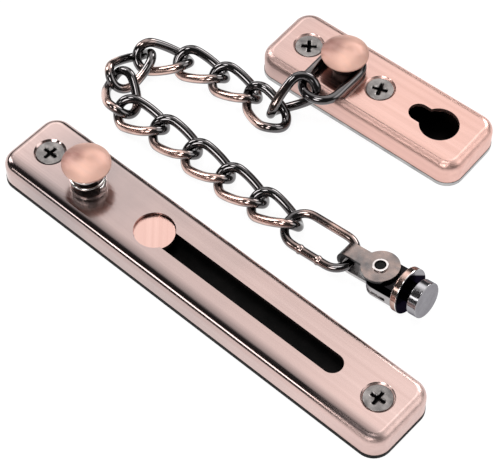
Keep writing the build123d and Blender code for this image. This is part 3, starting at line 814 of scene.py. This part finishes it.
def bolt_metal():
    """Black barrel with a painted floor reflection at its foot, copper collar with painted highlights on its
    rims and a painted floor reflection at its foot, black neck with a painted glint and grey head, told apart
    along the bolt.
    """
    material, tree, shader, coordinates = new_material("bolt_metal")
    shader.inputs["Specular Tint"].default_value = (0.25, 0.25, 0.27, 1.0)
    at = fitting_coordinates(tree, coordinates)
    clouds = use_group(tree, CLOUDS, Vector=coordinates, Size_per_metre=260.0)
    cloud, speckle = clouds.outputs["Cloud"], clouds.outputs["Speckle"]
    # Painted reflection of the floor at the barrel's foot
    barrel = blend_colour(tree, ramp(tree, at["Z"], *FOOT_TOP), FLOOR_REFLECTION_GREY, (0.010, 0.009, 0.010))
    from_middle = combine(tree, "ABSOLUTE", combine(tree, "SUBTRACT", at["X"], COLLAR_MIDDLE))
    collar = blend_colour(tree, cloud, (0.30, 0.19, 0.165), (0.64, 0.45, 0.39))
    # Painted highlight on the collar's rims, then a painted reflection of the floor at its foot
    collar = blend_colour(tree, ramp(tree, from_middle, *COLLAR_RIM_HIGHLIGHT), collar, (0.95, 0.91, 0.89))
    collar = blend_colour(tree, ramp(tree, at["Z"], *COLLAR_FOOT_TOP), (0.60, 0.57, 0.56), collar)
    # Painted glint on the upper far side of the neck
    upper_far = combine(tree, "ADD", at["Y"], at["Z"])
    neck = blend_colour(tree, ramp(tree, upper_far, *NECK_GLINT), (0.045, 0.043, 0.047), (0.42, 0.41, 0.43))
    head = blend_colour(tree, cloud, (0.33, 0.32, 0.335), (0.42, 0.41, 0.43))
    colour = blend_colour(tree, ramp(tree, at["X"], *COLLAR_START), barrel, collar)
    colour = blend_colour(tree, ramp(tree, at["X"], *NECK_START), colour, neck)
    colour = blend_colour(tree, ramp(tree, at["X"], *HEAD_START), colour, head)
    dress(tree, shader, colour, between(tree, speckle, 0.10, 0.20), speckle, 0.05)
    return material


def base_steel():
    """Steel plate whose cut edge is bare and whose faces, which point up or down, carry painted shade."""
    material, tree, shader, coordinates = new_material("base_steel")
    clouds = use_group(tree, CLOUDS, Vector=coordinates, Size_per_metre=220.0)
    steel = blend_colour(tree, clouds.outputs["Cloud"], (0.34, 0.335, 0.34), (0.52, 0.51, 0.51))
    normal = tree.nodes.new("ShaderNodeNewGeometry").outputs["Normal"]
    facing = combine(tree, "ABSOLUTE", separate(tree, normal)["Z"])
    # Painted shade on the faces that point up or down
    colour = blend_colour(tree, ramp(tree, facing, 0.5, 0.6), steel, (0.006, 0.006, 0.006))
    rough = between(tree, clouds.outputs["Speckle"], 0.28, 0.40)
    dress(tree, shader, colour, rough, clouds.outputs["Speckle"], 0.10)
    return material


STRAP_METAL = strap_metal()
BOLT_METAL = bolt_metal()
BASE_STEEL = base_steel()
RIVET_METAL = plain_metal("rivet_metal", (0.44, 0.40, 0.39), (0.66, 0.61, 0.60), 0.14, 2500.0, 3.0, 0.05)
CORE_RADIUS, CORE_TOP, CORE_FOOT, CORE_CHAMFER = 1.53, 3.5, 2.9, 0.03


def rivet_shade_plug():
    """Black plug of painted shade a little below the rim of the tubular rivet, in the lie of the rivet's
    node.
    """
    middle, axes = principal_frame("strap_rivet")
    up = axes[0] * np.sign(axes[0][2])
    profile = np.array([
        (0, CORE_TOP), (CORE_RADIUS - CORE_CHAMFER, CORE_TOP), (CORE_RADIUS, CORE_TOP - CORE_CHAMFER),
        (CORE_RADIUS, CORE_FOOT), (0, CORE_FOOT)])
    points = place(turned_grid(profile, 32) * MM, middle, [axes[1], np.cross(up, axes[1]), up])
    return add_piece("rivet_shade_plug", points, "strap", "strap", PAINTED_SHADE_BLACK)


rivet_shade_plug()


def finish_nodes(material, *names):
    """Gives a material to every slot of the named nodes."""
    for name in names:
        mesh = nodes[name].data
        if not mesh.materials:
            mesh.materials.append(material)
        for place_in in range(len(mesh.materials)):
            mesh.materials[place_in] = material


finish_nodes(TRACK_COPPER, "track_cover")
finish_nodes(ANCHOR_COPPER, "anchor_cover")
finish_nodes(GATE_COPPER, "gate_leaf")
# Painted shade: the track's base is black
finish_nodes(PAINTED_SHADE_BLACK, "track_base")
finish_nodes(BASE_STEEL, "anchor_base")
finish_nodes(STRAP_METAL, "end_strap")
finish_nodes(RIVET_METAL, "strap_rivet")
finish_nodes(BOLT_METAL, "chain_bolt")
print("solids with new finishes: 8")

# %% [markdown]
# ## Floor and light
#
# The object lies on white in a bright studio. The floor is a white sheet: to the camera and in mirror
# reflections it is mostly a plain white, and the rest of it is ordinary white paint that takes the object's
# soft shadow. The light is a world of large soft panels, each a smooth spot about one direction, because
# polished metal shows nothing but what surrounds it.

# %% Floor
GLOW_STRENGTH, GLOW_SHARE = 1.12, 0.80


def floor_sheet():
    """Square sheet under the object, white to the camera and to mirrors."""
    reach, depth = 3.0, -0.00002
    corners = [(x * reach, y * reach, depth) for x, y in ((-1, -1), (1, -1), (1, 1), (-1, 1))]
    mesh = bpy.data.meshes.new("floor")
    mesh.from_pydata(corners, [], [(0, 1, 2, 3)])
    material = bpy.data.materials.new("floor_white")
    material.use_nodes = True
    tree = material.node_tree
    tree.nodes.remove(tree.nodes["Principled BSDF"])
    paint = add_node(tree, "ShaderNodeBsdfDiffuse", {"Color": (0.92, 0.92, 0.93, 1.0)})
    glow = add_node(tree, "ShaderNodeEmission", {"Strength": GLOW_STRENGTH})
    rays = tree.nodes.new("ShaderNodeLightPath").outputs
    seen = combine(tree, "MAXIMUM", rays["Is Camera Ray"], rays["Is Glossy Ray"])
    seen = combine(tree, "MAXIMUM", seen, rays["Is Transmission Ray"])
    share = combine(tree, "MULTIPLY", seen, GLOW_SHARE)
    both = add_node(tree, "ShaderNodeMixShader", {0: share, 1: paint.outputs[0], 2: glow.outputs[0]})
    tree.links.new(both.outputs[0], tree.nodes["Material Output"].inputs["Surface"])
    mesh.materials.append(material)
    floor = bpy.data.objects.new("floor", mesh)
    bpy.context.scene.collection.objects.link(floor)


floor_sheet()
print("floor laid")

# %% [markdown]
# The panels are listed as a direction, the angles at which the panel is full and gone, and a strength. The
# far panel is what the flat faces mirror towards the camera. The left front panel lights the rounded near
# edges, and the small bright ones are the sparks on the links.

# %% World of soft panels
AMBIENT = 0.06
PANELS = [
    ((-0.39, 0.43, 0.81), 9.0, 30.0, 1.05),
    ((0.15, 0.45, 0.88), 12.0, 26.0, 0.8),
    ((-0.72, 0.45, 0.53), 10.0, 24.0, 0.9),
    ((-0.39, -0.78, 0.49), 3.5, 8.0, 6.0),
    ((0.70, 0.43, 0.56), 12.0, 24.0, 2.0),
    ((-0.85, -0.10, 0.50), 7.0, 13.0, 8.0),
    ((-0.70, -0.02, 0.71), 4.0, 8.0, 9.0),
    ((-0.08, 0.83, 0.55), 7.0, 13.0, 8.0),
    ((0.20, -0.76, 0.62), 7.0, 13.0, 8.0),
    ((0.0, -0.20, 0.98), 5.0, 10.0, 9.0),
]


def studio_world():
    """World whose light is the ambient level plus each panel's strength inside its cone."""
    world = bpy.data.worlds.new("studio")
    bpy.context.scene.world = world
    world.use_nodes = True
    tree = world.node_tree
    direction = tree.nodes.new("ShaderNodeTexCoord").outputs["Generated"]
    total = AMBIENT
    for aim, full, gone, strength in PANELS:
        aim = tuple(Vector(aim).normalized())
        near = add_node(tree, "ShaderNodeVectorMath", {0: direction, 1: aim}, operation="DOT_PRODUCT")
        spot = add_node(tree, "ShaderNodeMapRange", {
            "Value": near.outputs["Value"], "From Min": math.cos(math.radians(gone)),
            "From Max": math.cos(math.radians(full)), "To Min": 0.0, "To Max": strength},
            interpolation_type="SMOOTHSTEP")
        total = combine(tree, "ADD", spot.outputs[0], total)
    background = tree.nodes["Background"]
    background.inputs["Color"].default_value = (1.0, 0.99, 0.98, 1.0)
    tree.links.new(total, background.inputs["Strength"])


studio_world()
bpy.context.scene.view_settings.view_transform = "Standard"
print("panels:", len(PANELS))
